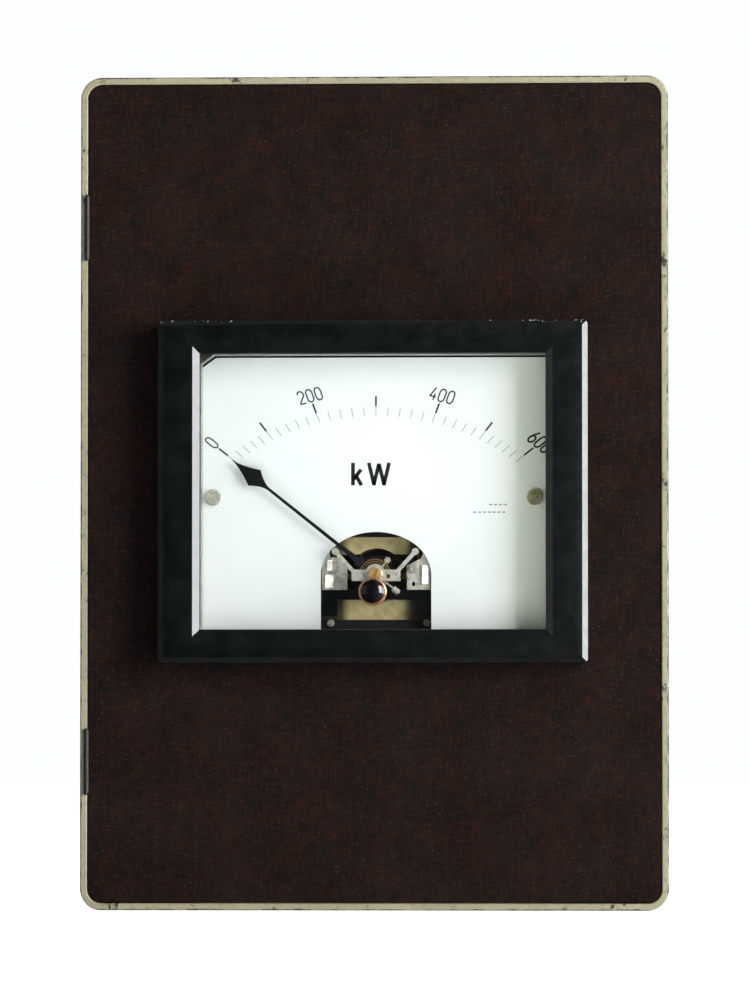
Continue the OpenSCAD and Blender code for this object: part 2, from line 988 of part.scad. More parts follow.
// Brass cross-bar that holds the inner core, wedged between the poles at both ends
module core_support() {
  end_x = 12;
  color("#b08d4a")
    from_front()
      translate([pivot_x, 0, pivot_z])
        union() {
          translate([-end_x, 16.5, -0.9])
            cube([2 * end_x, 2, 1.8]);
          for (x = [-1, 1])
            translate([x * end_x - 1, 16.5, slot_low - pivot_z])
              cube([2, 2, slot_high - slot_low]);
        }
}

// Nickelled bridge that carries the front bearing, with its two raised arms
module front_bridge() {
  arm_w = 1.1;
  arm_angle = atan2(post_z - 0.6, post_x - 6);
  arm_len = norm([post_x - 6, post_z - 0.6]);
  color("#c9c6bb")
    from_front()
      translate([pivot_x, 0, pivot_z])
        plate(bridge_d, bridge_d + bridge_t)
          difference() {
            union() {
              translate([-6.6, -1.9])
                square([13.6, 3.2]);
              circle(nut_r + 0.1);
              for (s = [0, 1])
                mirror([s, 0])
                  translate([6, 0.6]) {
                    rotate(arm_angle)
                      translate([-1.2, -arm_w / 2])
                        square([arm_len + 1.2, arm_w]);
                    translate([post_x - 6, post_z - 0.6])
                      circle(post_r + 0.15);
                  }
            }
            circle(1.05);
            translate([3.1, -1.1])
              square([1.1, 1.1]);
          }
}

// Posts that carry the bridge on the core's upper pole and stop the pointer's swing
module bridge_posts() {
  color("#c4c6c6")
    from_front()
      for (x = [-1, 1])
        rod(pivot_x + x * post_x, pivot_z + post_z, bridge_d + bridge_t, core_d, post_r);
}

// Bearing screws: cup jewels at the front and the rear end of the spindles
module jewel_screws() {
  color("#d98a2b")
    from_front() {
      difference() {
        screw(pivot_x, pivot_z, -5, jewel_r, 0.6, 1, 2.6, 65);
        turned(pivot_x, -2.35, pivot_z, [[0, 0], [0, 1], [0.6, 1], [0.25, 0]]);
      }
      from_back(chassis_d)
        difference() {
          screw(pivot_x, pivot_z, chassis_d - 4.6, jewel_r, 0.6, 1, 5.2, 10);
          turned(pivot_x, chassis_d + 0.25, pivot_z, [[0, 0], [0, 1.2], [0.6, 1.2], [0.25, 0]]);
        }
    }
}

// Round lock nuts of the bearing screws; the zero lever turns on the front one
module jewel_nuts() {
  color("#d4d2c8")
    from_front() {
      turned(pivot_x, -4.4, pivot_z, [
        [1.05, 0], [nut_r - 0.2, 0], [nut_r, 0.2], [nut_r, 1.2], [1.05, 1.2]
      ]);
      turned(pivot_x, chassis_d, pivot_z, [
        [1.05, 4], [2.6, 4], [2.6, 2], [1.75, 2], [1.75, 0], [1.05, 0]
      ]);
    }
}

// Black insulating bar across the front of the core, with a tower under each lug
module terminal_bar() {
  d0 = 3.6;
  d1 = 6;
  color("#131415")
    from_front()
      translate([pivot_x, 0, pivot_z])
        union() {
          plate(d0, d1)
            difference() {
              union() {
                translate([-15.2, -6.9])
                  square([30.4, 2.9]);
                translate([-15.2, -6.9])
                  square([6.9, 10.1]);
                translate([8.3, -6.9])
                  square([6.9, 11.3]);
              }
              for (p = lug_screws_at)
                translate(p)
                  circle(0.95);
            }
          for (x = [-1, 1])
            translate([x > 0 ? 11 : -24, d0, -11.6])
              cube([13, core_d - d0, 4.8]);
        }
}

// Nickelled lugs that the coil leads are soldered to
module terminal_lugs() {
  color("#a5a39b")
    from_front()
      translate([pivot_x, 0, pivot_z])
        union() {
          plate(lug_d, lug_back)
            difference() {
              union() {
                polygon([
                  [-15.2, -4.2], [-8.1, -4.2], [-8.1, 2.2], [-9.6, 4.9],
                  [-12.9, 4.9], [-13.3, 7.4], [-15.2, 7.4]
                ]);
                polygon([
                  [8.6, -4.2], [15.2, -4.2], [15.2, 7], [13.4, 7], [12.7, 4.6], [11.4, 4], [8.6, 2.6]
                ]);
              }
              for (p = lug_screws_at)
                translate(p)
                  circle(0.95);
              translate([10.4, -2.6])
                circle(0.6);
            }
          for (t = lug_tabs)
            translate([t[0], lug_d + 0.2, t[1]])
              rotate([0, 0, 24])
                translate([-t[2], -0.5, 0])
                  cube([t[2], 0.5, t[3]]);
          translate([8.8, 1.2, -3.6])
            cube([1.3, lug_d - 1.2 + eps, 3.8]);
          rod(-10.3, 1.2, 0.6, lug_d + eps, 0.55);
        }
}

module lug_screws() {
  color("#cfcdc4")
    from_front()
      for (i = [0, 1])
        translate([pivot_x, 0, pivot_z])
          screw(lug_screws_at[i][0], lug_screws_at[i][1], lug_d - 1, 1.5, 1, 0.9, 2.6, lug_slots[i]);
}

// Wedge below the pivot, open by the given half angle either side of straight down
module lower_wedge(half, reach) {
  polygon([[0, 0], [-reach * sin(half), -reach * cos(half)], [-reach, -2 * reach], [reach, -2 * reach],
           [reach * sin(half), -reach * cos(half)]]);
}

// Sector box that the damping vane swings in, on two feet against the chassis plate
module damping_chamber() {
  color("#75787a")
    from_front()
      translate([pivot_x, 0, pivot_z])
        difference() {
          union() {
            plate(chamber_d + chamber_t, chamber_back)
              difference() {
                intersection() {
                  circle(chamber_r, $fn = 120);
                  lower_wedge(chamber_half, 60);
                }
                circle(chamber_hub_r);
              }
            for (a = [-40, 40])
              rod(15 * sin(a), -15 * cos(a), chamber_back, chassis_d, 2);
          }
          plate(chamber_d - 1, chamber_back - chamber_t)
            intersection() {
              circle(chamber_r - chamber_t, $fn = 120);
              translate([0, -chamber_t * 1.2])
                lower_wedge(chamber_half, 60);
            }
        }
}

// Lid of the damping chamber
module damping_cover() {
  color("#8b8e90")
    from_front()
      translate([pivot_x, 0, pivot_z])
        plate(chamber_d, chamber_d + chamber_t)
          difference() {
            intersection() {
              circle(chamber_r, $fn = 120);
              lower_wedge(chamber_half, 60);
            }
            circle(chamber_hub_r);
          }
}

// Wire-wound series resistors on ceramic bobbins, standing on the chassis plate
module series_resistors() {
  len = chassis_d - resistor_d;
  color("#7c8a5c")
    from_front()
      for (x = [-1, 1])
        turned(x * resistor_x, resistor_d, resistor_z, [
          [1.8, 0], [8, 0], [8, 3], [6.6, 3], [6.6, len - 3], [8, len - 3], [8, len], [1.8, len]
        ]);
}

module resistor_screws() {
  color("#8d8f90")
    from_front()
      for (x = [-1, 1])
        screw(x * resistor_x, resistor_z, resistor_d - 1.6, 3, 1.6, 1.6, chassis_d - resistor_d, 40);
}

// ---- Terminals ----

module terminal_block() {
  color("#2a1d18")
    from_front()
      translate([0, 0, mid_z])
        difference() {
          plate(can_depth, can_depth + block_t)
            rounded(block_w, block_h, 3);
          for (x = stud_xs)
            rod(x, 0, can_depth - 1, can_depth + block_t + 1, stud_r + 0.05);
        }
}

// Studs with round flanges inside the can
module terminal_studs() {
  color("#c2a15a")
    from_front()
      for (x = stud_xs)
        translate([x, 0, mid_z])
          union() {
            rod(0, 0, can_depth - can_t - 4, stud_end, stud_r);
            rod(0, 0, can_depth - can_t - 4, can_depth - can_t - 2, 3.6);
          }
}

// Two hexagon nuts and a washer on each stud
module terminal_nuts() {
  d = can_depth + block_t;
  color("#cdb070")
    from_front()
      for (x = stud_xs)
        translate([x, 0, mid_z]) {
          difference() {
            rod(0, 0, d, d + 1, 4.6);
            rod(0, 0, d - 1, d + 2, stud_r + 0.05);
          }
          for (k = [1, 6.4])
            difference() {
              translate([0, d + k, 0])
                rotate([-90, 0, 0])
                  cylinder(h = nut_h, d = nut_across / cos(30), $fn = 6);
              rod(0, 0, d + k - 1, d + k + nut_h + 1, stud_r + 0.05);
            }
        }
}

// ---- Hairsprings ----

// Flat spiral in X and Z, with its turns from r0 out to r1
module spiral(r0, r1, turns) {
  last = turns * spring_steps;
  function at(i, off) = let (a = 360 * i / spring_steps, r = r0 + (r1 - r0) * i / last + off)
    [r * sin(a), -r * cos(a)];
  polygon(concat(
    [for (i = [0 : last]) at(i, spring_w / 2)],
    [for (i = [last : -1 : 0]) at(i, -spring_w / 2)]
  ));
}

// Rear control spring, pinned to a stud on the core frame
module rear_hairspring() {
  color("#caa15a")
    from_front()
      translate([pivot_x, 0, pivot_z])
        union() {
          plate(28.6, 29)
            spiral(1.5, spring_r, spring_turns);
          translate([0, core_back + frame_t, -spring_r - 4.6])
            cube([1, 1, 1.2]);
          translate([-0.2, core_back + frame_t, -spring_r - 4.4])
            cube([0.4, 1, 4.6]);
        }
}

// Front control spring, pinned to the zero lever
module front_hairspring() {
  color("#caa15a")
    from_front()
      translate([pivot_x, 0, pivot_z])
        plate(-1.9, -1.55)
          spiral(1.4, spring_r, spring_turns);
}

// ---- Moving element ----

// Half width of the pointer at a radius: a fine shaft, then a spade head with hollow sides
function head_half(r, neck, wide, tip) = r < wide
  ? 0.4 + 2.4 * pow((r - neck) / (wide - neck), 1.7)
  : 0.05 + 2.75 * pow((tip - r) / (tip - wide), 1.5);

module pointer() {
  neck = pointer_len - 13;
  wide = pointer_len - 8;
  steps = 7;
  head = concat(
    [for (i = [0 : steps]) neck + (wide - neck) * i / steps],
    [for (i = [1 : steps]) wide + (pointer_len - wide) * i / steps]
  );
  color("#101214")
    from_front()
      about_pivot(-rest_angle)
        plate(pointer_d, pointer_d + pointer_t)
          difference() {
            union() {
              polygon(concat(
                [[1.15, 1], [0.9, 6], [0.5, 14]],
                [for (r = head) [head_half(r, neck, wide, pointer_len), r]],
                [for (i = [len(head) - 1 : -1 : 0]) [-head_half(head[i], neck, wide, pointer_len), head[i]]],
                [[-0.5, 14], [-0.9, 6], [-1.15, 1]]
              ));
              circle(1.7);
            }
            circle(spindle_r);
          }
}

// Hub collar with the three balance arms, opposite the pointer and square to it
module balance_cross() {
  color("#8e9092")
    from_front()
      about_pivot(-rest_angle)
        union() {
          difference() {
            rod(0, 0, pointer_d + pointer_t, 1.9, 1.25);
            rod(0, 0, pointer_d, 3, spindle_r);
          }
          for (a = [90, tail_angle, 270])
            rotate([0, a, 0])
              rod_along(1.1, a == tail_angle ? 8.4 : 6.2, 0.28);
        }
}

// Thin round arm that stands out from the pivot along Z, at the depth of the balance weights
module rod_along(r0, r1, r) {
  translate([0, 1, r0])
    cylinder(h = r1 - r0, r = r);
}

// Weights threaded on the balance arms
module balance_weights() {
  color("#c9c8c0")
    from_front()
      about_pivot(-rest_angle)
        for (a = [90, tail_angle, 270])
          rotate([0, a, 0])
            translate([0, 1, a == tail_angle ? weight_at : weight_at - 1.7])
              difference() {
                cylinder(h = a == tail_angle ? 1.9 : 1.3, r = weight_r);
                translate([0, 0, -1])
                  cylinder(h = 4, r = 0.28);
              }
}

// Front and rear half-spindles with their pointed ends
module spindles() {
  color("#b9bbbd")
    from_front() {
      turned(pivot_x, 0, pivot_z, [
        [0, -2.2], [0.12, -2.1], [0.3, -1.5], [spindle_r, -1.3], [spindle_r, coil_d], [0, coil_d]
      ]);
      turned(pivot_x, 0, pivot_z, [
        [0, coil_back], [spindle_r, coil_back], [spindle_r, 40.4], [0.3, 40.6], [0.12, 41.15], [0, 41.25]
      ]);
    }
}

// Rectangular coil that turns round the inner core
module moving_coil() {
  color("#8a4a2a")
    from_front()
      about_pivot(-rest_angle)
        intersection() {
          difference() {
            translate([-coil_thick / 2, coil_d, -coil_out])
              cube([coil_thick, coil_back - coil_d, 2 * coil_out]);
            translate([-coil_thick, coil_d + 1.4, -coil_in])
              cube([2 * coil_thick, coil_back - coil_d - 2.8, 2 * coil_in]);
          }
          rod(0, 0, coil_d - 1, coil_back + 1, bore_r - 0.35);
        }
}

// Light aluminium vane, with the hub that carries it on the rear spindle
module damping_vane() {
  color("#c9ccce")
    from_front()
      about_pivot(tail_angle - rest_angle)
        difference() {
          union() {
            translate([-0.2, vane_d, 0])
              cube([0.4, vane_back - vane_d, vane_r]);
            rod(0, 0, vane_d, vane_back, 1.6);
          }
          rod(0, 0, vane_d - 1, vane_back + 1, spindle_r);
        }
}

// ---- Zero adjustment ----

// Black knob in the glass, with the crank pin behind it
module zero_knob() {
  color("#0c0d0f")
    from_front()
      union() {
        turned(knob_x, glass_d, knob_z, [
          [0, -2.1], [0.9, -2.05], [1.7, -1.88], [2.3, -1.65], [2.8, -1.38], [knob_r, -1.02], [knob_r, -0.95],
          [knob_hole_r - 0.05, -0.95], [knob_hole_r - 0.05, glass_t + 0.7], [0, glass_t + 0.7]
        ]);
        rod(knob_x, knob_z - crank_r, glass_back + 0.5, lever_d + lever_t + 0.3, crank_pin_r);
      }
}

// Forked lever that turns on the front lock nut and carries the outer end of the front spring
module zero_lever() {
  fork = atan2(knob_x - pivot_x, pivot_z - knob_z + crank_r);
  color("#b9b6aa")
    from_front()
      translate([pivot_x, 0, pivot_z])
        union() {
          plate(lever_d, lever_d + lever_t)
            difference() {
              union() {
                circle(nut_r + 0.6);
                rotate(fork)
                  translate([-1.3, -lever_reach])
                    square([2.6, lever_reach - nut_r]);
              }
              circle(nut_r + lever_fit);
              rotate(fork)
                translate([-crank_pin_r - 0.08, -lever_reach - 1])
                  square([2 * crank_pin_r + 0.16, lever_reach - 4.1]);
            }
          rod(0.22, -spring_r, lever_d + lever_t - eps, -1.5, 0.22);
        }
}

case_shell();
back_plate();
back_plate_screws();
door_stop_angles();
hinge_case_leaves();
hinge_pins();
catch_magnet();
cable_grommets();
earth_terminal();
door_panel();
hinge_door_leaves();
hinge_door_screws();
catch_keeper();
meter_bezel();
bezel_gasket();
bezel_screws();
window_glass();
glass_gasket();
glass_retainer();
adjuster_ferrule();
meter_can();
can_screws();
mounting_clamps();
clamp_screws();
scale_plate();
scale_screw_left();
scale_screw_right();
scale_posts();
chassis_plate();
chassis_pillars();
core_frame();
stator_core();
core_screws();
current_coils();
inner_core();
core_support();
front_bridge();
bridge_posts();
jewel_screws();
jewel_nuts();
terminal_bar();
terminal_lugs();
lug_screws();
damping_chamber();
damping_cover();
series_resistors();
resistor_screws();
terminal_block();
terminal_studs();
terminal_nuts();
rear_hairspring();
pointer();
balance_cross();
balance_weights();
spindles();
moving_coil();
damping_vane();
zero_knob();
zero_lever();
front_hairspring();
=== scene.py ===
"""A panel power meter in the hinged laminate door of a steel instrument case, dressed, lit and framed."""

import json
import math

import bpy
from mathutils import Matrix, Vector


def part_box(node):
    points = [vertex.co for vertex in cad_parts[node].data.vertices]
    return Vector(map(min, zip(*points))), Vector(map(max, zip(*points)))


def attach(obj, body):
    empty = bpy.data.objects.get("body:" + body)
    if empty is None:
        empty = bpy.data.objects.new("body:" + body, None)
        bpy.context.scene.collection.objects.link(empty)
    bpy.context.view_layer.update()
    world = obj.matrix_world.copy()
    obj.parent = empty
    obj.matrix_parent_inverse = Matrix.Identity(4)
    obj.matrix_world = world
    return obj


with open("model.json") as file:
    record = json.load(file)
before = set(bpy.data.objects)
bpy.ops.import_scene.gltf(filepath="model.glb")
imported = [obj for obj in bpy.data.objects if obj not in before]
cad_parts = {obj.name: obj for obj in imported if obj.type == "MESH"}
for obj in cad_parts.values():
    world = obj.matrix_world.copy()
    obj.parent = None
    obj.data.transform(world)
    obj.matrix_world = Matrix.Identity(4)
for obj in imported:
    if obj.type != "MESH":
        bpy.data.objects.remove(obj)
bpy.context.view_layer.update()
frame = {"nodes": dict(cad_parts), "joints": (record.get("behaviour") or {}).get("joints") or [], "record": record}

MM = 0.001
SMOOTH_ANGLE = math.radians(32)
WELD = 0.002 * MM
nodes = frame["nodes"]
record = frame["record"]


def joint(name):
    """One of the record's joints by name."""
    return next(j for j in frame["joints"] if j["name"] == name)


# ---------------------------------------------------------------- places
bezel_low, bezel_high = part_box("meter_bezel")
dial_low, dial_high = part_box("scale_plate")
case_low, case_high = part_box("case_shell")
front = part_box("door_panel")[0].y
dial_face = dial_low.y
pivot = Vector(joint("pointer_deflection")["pos_m"])


# ---------------------------------------------------------------- camera
VIEW_RIGHT = math.radians(2.5)
VIEW_BELOW = math.radians(2.2)
VIEW_DISTANCE = 1.8
FRAME_HEIGHT = 0.2803
SENSOR = 36.0
VIEW_AIM = Vector((0.0003, front, 0.1149))


def make_camera():
    """A level-headed view from a little right of the meter and a little below it."""
    back = Vector((
        math.sin(VIEW_RIGHT) * math.cos(VIEW_BELOW),
        -math.cos(VIEW_RIGHT) * math.cos(VIEW_BELOW),
        -math.sin(VIEW_BELOW),
    ))
    data = bpy.data.cameras.new("camera")
    data.sensor_width = SENSOR
    data.lens = SENSOR * VIEW_DISTANCE / FRAME_HEIGHT
    camera = bpy.data.objects.new("camera", data)
    camera.location = VIEW_AIM + back * VIEW_DISTANCE
    camera.rotation_euler = (-back).to_track_quat("-Z", "Y").to_euler()
    bpy.context.scene.collection.objects.link(camera)
    bpy.context.scene.camera = camera


# ---------------------------------------------------------------- node helpers
class Surface:
    """A material whose shader is fed by a small tree of nodes."""

    def __init__(self, name, **settings):
        self.name = name
        self.material = bpy.data.materials.new(name)
        self.material.use_nodes = True
        self.tree = self.material.node_tree
        self.shader = self.tree.nodes["Principled BSDF"]
        self.place = self.tree.nodes.new("ShaderNodeTexCoord").outputs["Object"]
        for key, value in settings.items():
            self.shader.inputs[key.replace("_", " ")].default_value = value

    def add(self, kind, inputs=None, **settings):
        """A node with its settings made and its inputs set or linked."""
        made = self.tree.nodes.new("ShaderNode" + kind)
        for key, value in settings.items():
            setattr(made, key, value)
        for key, value in (inputs or {}).items():
            if isinstance(value, bpy.types.NodeSocket):
                self.tree.links.new(value, made.inputs[key])
            else:
                made.inputs[key].default_value = value
        return made

    def drive(self, key, socket):
        """Feeds one of the shader's inputs."""
        self.tree.links.new(socket, self.shader.inputs[key])

    def math(self, operation, a, b=0.0):
        """One arithmetic node on a and b."""
        return self.add("Math", {0: a, 1: b}, operation=operation).outputs[0]

    def stretch(self, x=1.0, y=1.0, z=1.0):
        """The object's own coordinates, scaled along each axis."""
        return self.add("Mapping", {"Vector": self.place, "Scale": (x, y, z)}).outputs[0]

    def noise(self, scale, detail=3.0, roughness=0.55, vector=None):
        """Soft noise, with scale in features per metre."""
        inputs = {"Vector": vector or self.place, "Scale": scale, "Detail": detail, "Roughness": roughness}
        return self.add("TexNoise", inputs).outputs["Fac"]

    def cells(self, scale):
        """Distance to the nearest of a field of scattered points."""
        return self.add("TexVoronoi", {"Vector": self.place, "Scale": scale}).outputs["Distance"]

    def step(self, value, low, high, out_low=0.0, out_high=1.0):
        """A smooth ramp of value from low to high."""
        inputs = {
            "Value": value, "From Min": low, "From Max": high, "To Min": out_low, "To Max": out_high,
        }
        return self.add("MapRange", inputs, interpolation_type="SMOOTHSTEP").outputs[0]

    def blend(self, share, a, b):
        """Colour a where share is 0 and colour b where it is 1."""
        made = self.add("Mix", data_type="RGBA")
        for key, value in ((0, share), (6, a), (7, b)):
            if isinstance(value, bpy.types.NodeSocket):
                self.tree.links.new(value, made.inputs[key])
            else:
                made.inputs[key].default_value = value if key == 0 else (*value, 1.0)
        return made.outputs[2]

    def axis(self, name):
        """One of the object's own coordinates, in metres."""
        return self.add("SeparateXYZ", {0: self.place}).outputs[name]

    def bump(self, height, depth, strength=1.0):
        """A normal tilted by the slope of height, where 1 stands for depth metres."""
        return self.add("Bump", {"Height": height, "Distance": depth, "Strength": strength}).outputs[0]


def flecked(name, base, other, scale, rough=(0.3, 0.45), bump_mm=0.01, **settings):
    """A material of two close tones with a fine uneven surface."""
    s = Surface(name, **settings)
    tone = s.step(s.noise(scale, 5.0, 0.6), 0.35, 0.65)
    s.drive("Base Color", s.blend(tone, base, other))
    s.drive("Roughness", s.step(s.noise(scale * 2.3, 4.0), 0.3, 0.7, rough[0], rough[1]))
    s.drive("Normal", s.bump(s.noise(scale * 4.0, 3.0), bump_mm * MM))
    return s


# ---------------------------------------------------------------- materials
THREAD_MM = 0.46


def laminate():
    """Dark maroon fabric laminate: crossing threads under a worn varnish."""
    s = Surface("laminate", Specular_IOR_Level=0.1)
    pitch = 2 * math.pi / (THREAD_MM * MM)
    wander = s.math("MULTIPLY", s.noise(420.0, 4.0, 0.6), 7.0)
    x = s.math("ADD", s.math("MULTIPLY", s.axis("X"), pitch), wander)
    z = s.math("ADD", s.math("MULTIPLY", s.axis("Z"), pitch), wander)
    upright_fibres = s.step(s.noise(2600.0, 2.0, 0.5, s.stretch(1.0, 1.0, 0.12)), 0.35, 0.7)
    level_fibres = s.step(s.noise(2600.0, 2.0, 0.5, s.stretch(0.12, 1.0, 1.0)), 0.35, 0.7)
    warp = s.math("MULTIPLY", s.math("SINE", x), upright_fibres)
    weft = s.math("MULTIPLY", s.math("SINE", z), level_fibres)
    weave = s.math("MAXIMUM", warp, weft)
    mottle = s.step(s.noise(95.0, 6.0, 0.68), 0.38, 0.66)
    deep = (0.0042, 0.0032, 0.0028)
    mid = (0.0078, 0.0038, 0.0032)
    bright = (0.04, 0.0105, 0.0058)
    ground = s.blend(mottle, deep, mid)
    threads = s.blend(s.step(weave, 0.15, 0.95, 0.0, 0.55), ground, bright)
    streaks = s.step(s.noise(900.0, 3.0, 0.7, s.stretch(1.0, 1.0, 0.05)), 0.62, 0.8, 0.0, 0.3)
    aged = s.blend(streaks, threads, bright)
    specks = s.step(s.cells(700.0), 0.11, 0.05, 0.0, 0.5)
    s.drive("Base Color", s.blend(specks, aged, (0.16, 0.09, 0.06)))
    s.drive("Roughness", s.step(s.noise(60.0, 5.0), 0.3, 0.7, 0.4, 0.55))
    s.drive("Normal", s.bump(weave, 0.012 * MM, 0.5))
    return s


def case_paint():
    """Aged beige enamel with scattered chips, worn to dark steel along the front rim's outer edges."""
    s = Surface("case_paint", IOR=1.45)
    tone = s.step(s.noise(38.0, 5.0, 0.6), 0.35, 0.65)
    clean = s.blend(tone, (0.22, 0.2, 0.132), (0.245, 0.225, 0.15))
    grime = s.step(s.noise(700.0, 6.0, 0.7), 0.5, 0.72, 0.0, 0.55)
    dirty = s.blend(grime, clean, (0.09, 0.075, 0.045))
    rim = s.step(s.axis("Y"), case_low.y + 1.2 * MM, case_low.y + 0.6 * MM)
    spots = s.math("ADD", s.noise(230.0, 7.0, 0.72), s.math("MULTIPLY", rim, 0.09))
    chip = s.step(spots, 0.69, 0.73)
    half_height = case_high.z / 2
    from_middle = s.math("ABSOLUTE", s.math("SUBTRACT", s.axis("Z"), half_height))
    across = s.math("SUBTRACT", s.math("ABSOLUTE", s.axis("X")), case_high.x)
    edge = s.math("MAXIMUM", across, s.math("SUBTRACT", from_middle, half_height))
    ragged = s.math("MULTIPLY", s.noise(160.0, 6.0, 0.7), 1.8 * MM)
    worn = s.step(s.math("ADD", edge, ragged), 0.5 * MM, 0.75 * MM)
    bare = s.math("MAXIMUM", chip, s.math("MULTIPLY", worn, rim))
    s.drive("Base Color", s.blend(bare, dirty, (0.03, 0.026, 0.022)))
    s.drive("Roughness", s.step(s.noise(160.0, 4.0), 0.3, 0.7, 0.38, 0.6))
    s.drive("Normal", s.bump(s.math("SUBTRACT", s.noise(1500.0, 3.0), chip), 0.03 * MM, 0.6))
    return s


def black_moulding():
    """Black phenolic moulding with a dull bloom, chipped along the bezel's front top edge."""
    s = Surface("black_moulding", IOR=1.62)
    tone = s.step(s.noise(150.0, 5.0), 0.35, 0.7)
    black = s.blend(tone, (0.0018, 0.0028, 0.003), (0.004, 0.0056, 0.006))
    top = s.step(s.axis("Z"), bezel_high.z - 0.8 * MM, bezel_high.z - 0.4 * MM)
    outer = s.step(s.math("ABSOLUTE", s.axis("X")), 36 * MM, 40 * MM, 0.0, 0.07)
    chip = s.math("GREATER_THAN", s.math("ADD", s.noise(900.0, 4.0, 0.7), outer), 0.68)
    edge = s.math("MULTIPLY", top, s.step(s.axis("Y"), bezel_low.y + 3 * MM, bezel_low.y + 2 * MM))
    s.drive("Base Color", s.blend(s.math("MULTIPLY", edge, chip), black, (0.55, 0.55, 0.52)))
    s.drive("Roughness", s.step(s.noise(500.0, 4.0), 0.3, 0.7, 0.15, 0.24))
    s.drive("Normal", s.bump(s.noise(2600.0, 2.0), 0.003 * MM, 0.5))
    return s


def clear_glass():
    """Thin float glass: it mirrors a little and otherwise lets everything through."""
    s = Surface("clear_glass")
    clear = s.add("BsdfTransparent", {"Color": (0.985, 0.995, 0.99, 1.0)})
    mirror = s.add("BsdfGlossy", {"Roughness": 0.02})
    share = s.math("MULTIPLY", s.add("Fresnel", {"IOR": 1.45}).outputs[0], 0.6)
    mixed = s.add("MixShader", {0: share, 1: clear.outputs[0], 2: mirror.outputs[0]})
    s.tree.links.new(mixed.outputs[0], s.tree.nodes["Material Output"].inputs["Surface"])
    s.tree.nodes.remove(s.shader)
    return s


def dial_white():
    """White stove enamel, faintly uneven, with small specks and a yellowed right edge."""
    s = Surface("dial_white", IOR=1.45)
    tone = s.step(s.noise(28.0, 4.0), 0.35, 0.65)
    clean = s.blend(tone, (0.89, 0.915, 0.93), (0.92, 0.935, 0.945))
    speck = s.step(s.cells(420.0), 0.035, 0.02, 0.0, 0.35)
    yellowed = s.blend(s.step(s.axis("X"), 28 * MM, 46 * MM, 0.0, 0.8), clean, (0.9, 0.93, 0.78))
    s.drive("Base Color", s.blend(speck, yellowed, (0.45, 0.42, 0.36)))
    s.drive("Roughness", s.step(s.noise(300.0), 0.3, 0.7, 0.38, 0.5))
    s.drive("Normal", s.bump(s.noise(1600.0, 2.0), 0.003 * MM, 0.5))
    return s


def metal(name, base, other, rough, streak=(1.0, 1.0, 1.0), scale=900.0, shine=1.0):
    """Metal with fine brushing along one axis and a little tarnish that dulls its shine."""
    s = Surface(name, Metallic=shine)
    brushed = s.noise(scale, 4.0, 0.6, s.stretch(*streak))
    tarnish = s.step(s.noise(scale * 0.22, 5.0, 0.65), 0.42, 0.7)
    s.drive("Base Color", s.blend(tarnish, base, other))
    s.drive("Roughness", s.step(brushed, 0.3, 0.7, rough[0], rough[1]))
    s.drive("Normal", s.bump(brushed, 0.002 * MM, 0.6))
    return s


def brass():
    """Warm brass, paler and greener out at the dial's right screw."""
    s = Surface("brass", Metallic=0.45)
    warm = s.step(s.noise(900.0, 4.0), 0.4, 0.65)
    gold = s.blend(warm, (0.86, 0.58, 0.24), (0.7, 0.4, 0.14))
    pale = s.blend(warm, (0.62, 0.6, 0.34), (0.42, 0.38, 0.18))
    right = s.step(s.axis("X"), 30 * MM, 36 * MM)
    near_dial = s.step(s.axis("Y"), dial_high.y + 8 * MM, dial_high.y + 6 * MM)
    s.drive("Base Color", s.blend(s.math("MULTIPLY", right, near_dial), gold, pale))
    s.drive("Roughness", s.step(s.noise(2200.0), 0.3, 0.7, 0.25, 0.4))
    s.drive("Normal", s.bump(s.noise(2200.0), 0.002 * MM, 0.6))
    return s


def wound(name, base, gap, pitch_mm, along):
    """Lacquered wire laid side by side."""
    s = Surface(name, IOR=1.5)
    turns = s.math("MULTIPLY", s.axis(along), math.pi / (pitch_mm * MM))
    wires = s.math("ABSOLUTE", s.math("SINE", turns))
    s.drive("Base Color", s.blend(s.step(wires, 0.15, 0.6), gap, base))
    s.drive("Roughness", s.step(s.noise(900.0), 0.3, 0.7, 0.22, 0.4))
    s.drive("Normal", s.bump(wires, 0.12 * MM))
    return s


def varnished_core():
    """Iron laminations under golden varnish, with painted shade darkening the colour towards the ends."""
    s = Surface("core_varnish", IOR=1.5)
    tone = s.step(s.noise(500.0, 5.0, 0.6), 0.35, 0.65)
    gold = s.blend(tone, (0.5, 0.4, 0.17), (0.62, 0.52, 0.27))
    # Painted shade: the colour fades to near black with distance from the pivot, towards both ends of the stack
    away = s.math("ABSOLUTE", s.math("SUBTRACT", s.axis("X"), pivot.x))
    uneven = s.math("MULTIPLY", s.noise(260.0), 2 * MM)
    end = s.step(s.math("ADD", away, uneven), 8.5 * MM, 11.5 * MM, 0.0, 0.93)
    s.drive("Base Color", s.blend(end, gold, (0.03, 0.022, 0.012)))
    s.drive("Roughness", s.step(s.noise(800.0), 0.3, 0.7, 0.3, 0.5))
    s.drive("Normal", s.bump(s.noise(2000.0), 0.01 * MM))
    return s


def pointer_black():
    """Matt black, worn to a slate blue close to the pivot."""
    s = Surface("pointer_black", Specular_IOR_Level=0.25)
    tone = s.step(s.noise(700.0), 0.3, 0.7)
    black = s.blend(tone, (0.0025, 0.0025, 0.0035), (0.006, 0.006, 0.009))
    height = s.math("SUBTRACT", s.axis("Z"), pivot.z)
    uneven = s.math("MULTIPLY", s.noise(300.0), 3 * MM)
    root = s.step(s.math("ADD", height, uneven), 12 * MM, 2 * MM, 0.0, 0.8)
    s.drive("Base Color", s.blend(root, black, (0.022, 0.022, 0.04)))
    s.drive("Roughness", s.step(s.noise(900.0), 0.3, 0.7, 0.5, 0.65))
    s.drive("Normal", s.bump(s.noise(2400.0), 0.004 * MM))
    return s


